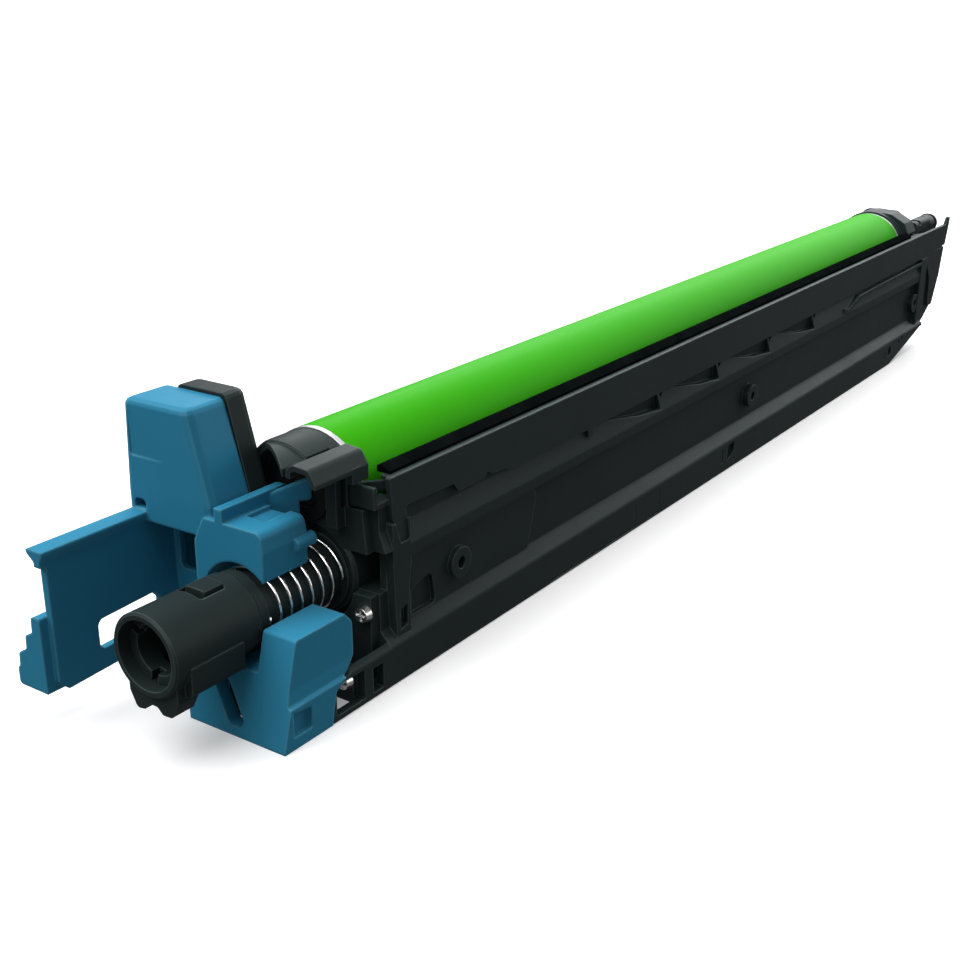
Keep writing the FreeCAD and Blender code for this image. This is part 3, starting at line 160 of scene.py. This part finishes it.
def turned_lines_group():
    """Fine rings left by turning, around the Y axis."""
    group, start, end = new_group("turned_lines", [("Scale", 3000.0)], [("Height", "NodeSocketFloat")])
    place = group.nodes.new("ShaderNodeTexCoord")
    split = group.nodes.new("ShaderNodeSeparateXYZ")
    noise = group.nodes.new("ShaderNodeTexNoise")
    noise.noise_dimensions = "1D"
    noise.inputs["Detail"].default_value = 3.0
    link = group.links.new
    link(place.outputs["Object"], split.inputs["Vector"])
    link(split.outputs["Y"], noise.inputs["W"])
    link(start.outputs["Scale"], noise.inputs["Scale"])
    link(noise.outputs["Fac"], end.inputs["Height"])
    return group


GRAIN = moulded_grain_group()
SOFT_EDGE = soft_edge_group()
TURNED = turned_lines_group()


# Materials

def put_group(tree, group, **values):
    node = tree.nodes.new("ShaderNodeGroup")
    node.node_tree = group
    for label, value in values.items():
        node.inputs[label.replace("_", " ")].default_value = value
    return node


def colour_between(tree, factor, low, high, dark, light):
    """Colour ramp from dark to light as factor runs from low to high."""
    ramp = tree.nodes.new("ShaderNodeValToRGB")
    ramp.color_ramp.elements[0].position = low
    ramp.color_ramp.elements[0].color = (*dark, 1)
    ramp.color_ramp.elements[1].position = high
    ramp.color_ramp.elements[1].color = (*light, 1)
    tree.links.new(factor, ramp.inputs["Fac"])
    return ramp.outputs["Color"]


def value_between(tree, factor, low, high):
    span = tree.nodes.new("ShaderNodeMapRange")
    span.inputs["To Min"].default_value = low
    span.inputs["To Max"].default_value = high
    tree.links.new(factor, span.inputs["Value"])
    return span.outputs["Result"]


def moulded(name, dark, light, painted_edge_highlight, rough=(0.38, 0.52), edge_radius=0.0005, grain=0.02, painted_highlight_gain=7.0,
            gloss=0.06):
    """Satin moulded plastic with grain, colour drift and rounded edges; the edges get a painted highlight in
    a lighter colour.
    """
    material = bpy.data.materials.new(name)
    material.use_nodes = True
    tree = material.node_tree
    surface = tree.nodes["Principled BSDF"]
    grain_node = put_group(tree, GRAIN)
    edges = put_group(tree, SOFT_EDGE, Radius=edge_radius, Reach=painted_highlight_gain)
    body = colour_between(tree, grain_node.outputs["Drift"], 0.35, 0.65, dark, light)
    # Painted highlight: the base colour is mixed towards a lighter colour on the edges
    mix = tree.nodes.new("ShaderNodeMix")
    mix.data_type = "RGBA"
    mix.inputs["B"].default_value = (*painted_edge_highlight, 1)
    tree.links.new(edges.outputs["Painted Highlight"], mix.inputs["Factor"])
    tree.links.new(body, mix.inputs["A"])
    tree.links.new(mix.outputs["Result"], surface.inputs["Base Color"])
    tree.links.new(value_between(tree, grain_node.outputs["Rub"], *rough), surface.inputs["Roughness"])
    surface.inputs["Specular IOR Level"].default_value = gloss
    bump = tree.nodes.new("ShaderNodeBump")
    bump.inputs["Strength"].default_value = grain
    bump.inputs["Distance"].default_value = 0.0002
    tree.links.new(grain_node.outputs["Height"], bump.inputs["Height"])
    tree.links.new(edges.outputs["Normal"], bump.inputs["Normal"])
    tree.links.new(bump.outputs["Normal"], surface.inputs["Normal"])
    return material


def coated_drum(name):
    """Matt green photoconductive coating."""
    material = bpy.data.materials.new(name)
    material.use_nodes = True
    tree = material.node_tree
    surface = tree.nodes["Principled BSDF"]
    grain_node = put_group(tree, GRAIN, Scale=60.0, Drift_Scale=7.0)
    body = colour_between(tree, grain_node.outputs["Drift"], 0.3, 0.7, DRUM_GREEN, DRUM_GREEN_LIT)
    tree.links.new(body, surface.inputs["Base Color"])
    tree.links.new(value_between(tree, grain_node.outputs["Rub"], 0.34, 0.40), surface.inputs["Roughness"])
    surface.inputs["Specular IOR Level"].default_value = 0.010
    return material


def bright_metal(name, dark, light, rough=(0.2, 0.34), rings=0.0):
    """Plated or turned metal, with rings about the Y axis where it was turned."""
    material = bpy.data.materials.new(name)
    material.use_nodes = True
    tree = material.node_tree
    surface = tree.nodes["Principled BSDF"]
    surface.inputs["Metallic"].default_value = 1.0
    grain_node = put_group(tree, GRAIN, Scale=900.0, Drift_Scale=60.0)
    edges = put_group(tree, SOFT_EDGE, Radius=0.0002, Reach=3.0)
    body = colour_between(tree, grain_node.outputs["Drift"], 0.3, 0.7, dark, light)
    tree.links.new(body, surface.inputs["Base Color"])
    tree.links.new(value_between(tree, grain_node.outputs["Rub"], *rough), surface.inputs["Roughness"])
    bump = tree.nodes.new("ShaderNodeBump")
    bump.inputs["Distance"].default_value = 0.0001
    bump.inputs["Strength"].default_value = max(rings, 0.02)
    lines = put_group(tree, TURNED)
    tree.links.new(lines.outputs["Height"] if rings else grain_node.outputs["Height"], bump.inputs["Height"])
    tree.links.new(edges.outputs["Normal"], bump.inputs["Normal"])
    tree.links.new(bump.outputs["Normal"], surface.inputs["Normal"])
    return material


def soft_trim(name, dark, light, rough, fibre=0.4, scale=2600.0):
    """Foam, felt or rubber: dull, with a coarse surface."""
    material = bpy.data.materials.new(name)
    material.use_nodes = True
    tree = material.node_tree
    surface = tree.nodes["Principled BSDF"]
    surface.inputs["Roughness"].default_value = rough
    surface.inputs["Specular IOR Level"].default_value = 0.0
    grain_node = put_group(tree, GRAIN, Scale=scale, Drift_Scale=120.0)
    tree.links.new(colour_between(tree, grain_node.outputs["Rub"], 0.3, 0.7, dark, light),
                   surface.inputs["Base Color"])
    bump = tree.nodes.new("ShaderNodeBump")
    bump.inputs["Strength"].default_value = fibre
    bump.inputs["Distance"].default_value = 0.0003
    tree.links.new(grain_node.outputs["Height"], bump.inputs["Height"])
    tree.links.new(bump.outputs["Normal"], surface.inputs["Normal"])
    return material


DRUM_GREEN = (0.037, 0.375, 0.0030)
DRUM_GREEN_LIT = (0.040, 0.390, 0.0035)
COVER_BLUE = (0.0275, 0.232, 0.388)
COVER_BLUE_LIT = (0.0305, 0.246, 0.408)
# Lighter edge colour of the blue covers: a painted highlight along the edges
COVER_BLUE_PAINTED_HIGHLIGHT = (0.125, 0.45, 0.60)
BLACK = (0.0195, 0.0300, 0.0297)
BLACK_LIT = (0.0235, 0.0350, 0.0346)
# Lighter edge colour of the black mouldings: a painted highlight along the edges
BLACK_PAINTED_HIGHLIGHT = (0.095, 0.128, 0.128)
# The third colour of each moulded finish is a painted highlight along its edges
FINISHES = {
    "frame_black": moulded("frame_black", BLACK, BLACK_LIT, BLACK_PAINTED_HIGHLIGHT),
    "frame_dark": moulded("frame_dark", (0.0230, 0.0345, 0.0340), (0.0270, 0.0395, 0.0390), BLACK_PAINTED_HIGHLIGHT),
    "charge_black": moulded("charge_black", BLACK, BLACK_LIT, BLACK_PAINTED_HIGHLIGHT, (0.45, 0.58)),
    "cover_blue": moulded("cover_blue", COVER_BLUE, COVER_BLUE_LIT, COVER_BLUE_PAINTED_HIGHLIGHT, (0.36, 0.48),
                          edge_radius=0.0009, grain=0.015, painted_highlight_gain=3.0, gloss=0.07),
    "bearing_plastic": moulded("bearing_plastic", (0.012, 0.013, 0.013), (0.016, 0.017, 0.017),
                               (0.05, 0.05, 0.05)),
    "flange_plastic": moulded("flange_plastic", (0.014, 0.015, 0.015), (0.020, 0.021, 0.021),
                              (0.06, 0.06, 0.06)),
    "gear_plastic": moulded("gear_plastic", (0.58, 0.56, 0.50), (0.66, 0.64, 0.58), (0.74, 0.72, 0.66)),
    "auger_plastic": moulded("auger_plastic", (0.02, 0.02, 0.022), (0.03, 0.03, 0.032), (0.08, 0.08, 0.085)),
    "film": moulded("film", (0.02, 0.02, 0.022), (0.03, 0.03, 0.033), (0.05, 0.05, 0.05), (0.15, 0.22)),
    "drum_coating": coated_drum("drum_coating"),
    "drum_rim": bright_metal("drum_rim", (0.50, 0.51, 0.52), (0.58, 0.59, 0.60), (0.34, 0.42), 0.05),
    "screw_steel": bright_metal("screw_steel", (0.62, 0.62, 0.60), (0.80, 0.80, 0.78)),
    "spring_steel": bright_metal("spring_steel", (0.72, 0.72, 0.70), (0.88, 0.88, 0.86), (0.14, 0.22)),
    "zinc_plate": bright_metal("zinc_plate", (0.42, 0.43, 0.44), (0.56, 0.57, 0.58), (0.32, 0.46)),
    "grid_steel": bright_metal("grid_steel", (0.48, 0.48, 0.48), (0.60, 0.60, 0.60)),
    "wire_steel": bright_metal("wire_steel", (0.35, 0.34, 0.32), (0.45, 0.44, 0.42)),
    "foam_dark": soft_trim("foam_dark", (0.0025, 0.0035, 0.0035), (0.0050, 0.0065, 0.0065), 0.8),
    "blade_rubber": soft_trim("blade_rubber", (0.42, 0.24, 0.08), (0.50, 0.30, 0.11), 0.35, 0.05),
    "felt": soft_trim("felt", (0.16, 0.16, 0.15), (0.30, 0.30, 0.28), 0.95, 0.8),
}


def dress_solids():
    """Give every solid of the part the finish of its slot."""
    slots = {entry["node"]: entry["material_slot"] for entry in frame["record"]["subparts"]}
    for name, solid in NODES.items():
        finish = FINISHES[slots[name]]
        if not solid.material_slots:
            solid.data.materials.append(finish)
        for slot in solid.material_slots:
            slot.material = finish


# Modelling helpers

def deselect():
    if bpy.context.mode != "OBJECT":
        bpy.ops.object.mode_set(mode="OBJECT")
    bpy.ops.object.select_all(action="DESELECT")


def finish_piece(piece, name, body, slot):
    """Settle a modelled piece: name, finish, place in its mesh, and the body it rides on."""
    piece.name = name
    piece.data.name = name
    deselect()
    piece.select_set(True)
    bpy.context.view_layer.objects.active = piece
    bpy.ops.object.transform_apply(location=True, rotation=True, scale=True)
    piece.data.materials.clear()
    piece.data.materials.append(FINISHES[slot])
    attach(piece, body)
    return piece


def make_spring():
    """Round-wire compression spring around the tube."""
    deselect()
    wire_ring = (TUBE_HIGH.x - TUBE_LOW.x) / 2 + SPRING_PLAY + SPRING_WIRE
    length = SPRING_HIGH.y - SPRING_LOW.y - 2 * SPRING_WIRE
    bpy.ops.mesh.primitive_circle_add(vertices=12, radius=SPRING_WIRE, location=(wire_ring, 0, 0),
                                      rotation=(math.radians(90), 0, 0))
    coil = bpy.context.object
    bpy.ops.object.transform_apply(location=True, rotation=True, scale=True)
    screw = coil.modifiers.new("coil", "SCREW")
    screw.axis = "Z"
    screw.angle = 2 * math.pi * SPRING_TURNS
    screw.screw_offset = length
    screw.steps = 48 * SPRING_TURNS
    screw.render_steps = screw.steps
    screw.use_merge_vertices = True
    bpy.ops.object.modifier_apply(modifier="coil")
    bpy.ops.object.mode_set(mode="EDIT")
    bpy.ops.mesh.select_all(action="SELECT")
    bpy.ops.mesh.remove_doubles(threshold=0.000001)
    bpy.ops.mesh.fill_holes(sides=12)
    bpy.ops.mesh.normals_make_consistent(inside=False)
    bpy.ops.object.mode_set(mode="OBJECT")
    bpy.ops.object.shade_smooth()
    coil.rotation_euler = (math.radians(-90), 0, 0)
    coil.location = (TUBE_X, SPRING_LOW.y + SPRING_WIRE, TUBE_Z)
    finish_piece(coil, "spring_coil", "frame", "spring_steel")
    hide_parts("shutter_spring")
    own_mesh(coil)
    return coil


# Studio: camera, floor and lights

def make_camera():
    data = bpy.data.cameras.new("photo_camera")
    data.lens = CAMERA_LENS
    data.sensor_width = 36.0
    data.clip_start = 0.01
    camera = bpy.data.objects.new("photo_camera", data)
    camera.location = CAMERA_PLACE
    camera.rotation_euler = [math.radians(a) for a in CAMERA_TURN]
    bpy.context.scene.collection.objects.link(camera)
    bpy.context.scene.camera = camera


def make_floor():
    deselect()
    bpy.ops.mesh.primitive_plane_add(size=FLOOR_WIDTH, location=(0, 0, CAD_BOX[0][2]))
    floor = bpy.context.object
    floor.name = "pale_floor"
    paint = bpy.data.materials.new("pale_floor")
    paint.use_nodes = True
    surface = paint.node_tree.nodes["Principled BSDF"]
    surface.inputs["Base Color"].default_value = (FLOOR_WHITE, FLOOR_WHITE, FLOOR_WHITE, 1)
    surface.inputs["Roughness"].default_value = 1.0
    surface.inputs["Specular IOR Level"].default_value = 0.0
    surface.inputs["Emission Color"].default_value = (1, 1, 1, 1)
    surface.inputs["Emission Strength"].default_value = FLOOR_GLOW
    floor.data.materials.append(paint)
    # Hidden from reflections and bounced light, so that the dark sides stay dark
    floor.visible_glossy = False
    floor.visible_diffuse = False


def soft_box(name, place, aim, size, power, lights_matt=True):
    """Rectangular soft light. One that doesn't light matt surfaces shows only as a sheen."""
    data = bpy.data.lights.new(name, "AREA")
    data.shape = "RECTANGLE"
    data.size, data.size_y = size
    data.energy = power
    lamp = bpy.data.objects.new(name, data)
    lamp.visible_diffuse = lights_matt
    lamp.location = place
    lamp.rotation_euler = (Vector(aim) - Vector(place)).to_track_quat("-Z", "Y").to_euler()
    bpy.context.scene.collection.objects.link(lamp)


def make_lights():
    """Wide overhead light, a soft box behind for a sheen on upward faces, and two for the bright metal."""
    world = bpy.data.worlds.new("studio")
    world.use_nodes = True
    tree = world.node_tree
    backdrop = tree.nodes["Background"]
    backdrop.inputs["Color"].default_value = (1, 1, 1, 1)
    # White where it is seen, and weak where it lights the object
    rays = tree.nodes.new("ShaderNodeLightPath")
    strength = value_between(tree, rays.outputs["Is Camera Ray"], WORLD_LIGHT, BACKDROP_WHITE)
    tree.links.new(strength, backdrop.inputs["Strength"])
    bpy.context.scene.world = world
    bpy.context.scene.view_settings.view_transform = "Standard"
    sky = bpy.data.lights.new("overhead", "SUN")
    sky.energy = OVERHEAD_POWER
    sky.angle = math.radians(OVERHEAD_SPREAD)
    lamp = bpy.data.objects.new("overhead", sky)
    lamp.rotation_euler = [math.radians(a) for a in OVERHEAD_TILT]
    bpy.context.scene.collection.objects.link(lamp)
    soft_box("back", (-0.15, 1.35, 0.72), (0, 0, 0.05), (2.6, 0.8), 30)
    soft_box("metal_sheen_front", (0.35, -1.3, 0.75), (0, -0.15, 0.03), (1.4, 1.0), 34, False)
    soft_box("metal_sheen_side", (1.2, 0.55, 0.35), (0, -0.15, 0.03), (1.0, 0.7), 5, False)


make_camera()
make_lights()
make_floor()
dress_solids()
make_spring()
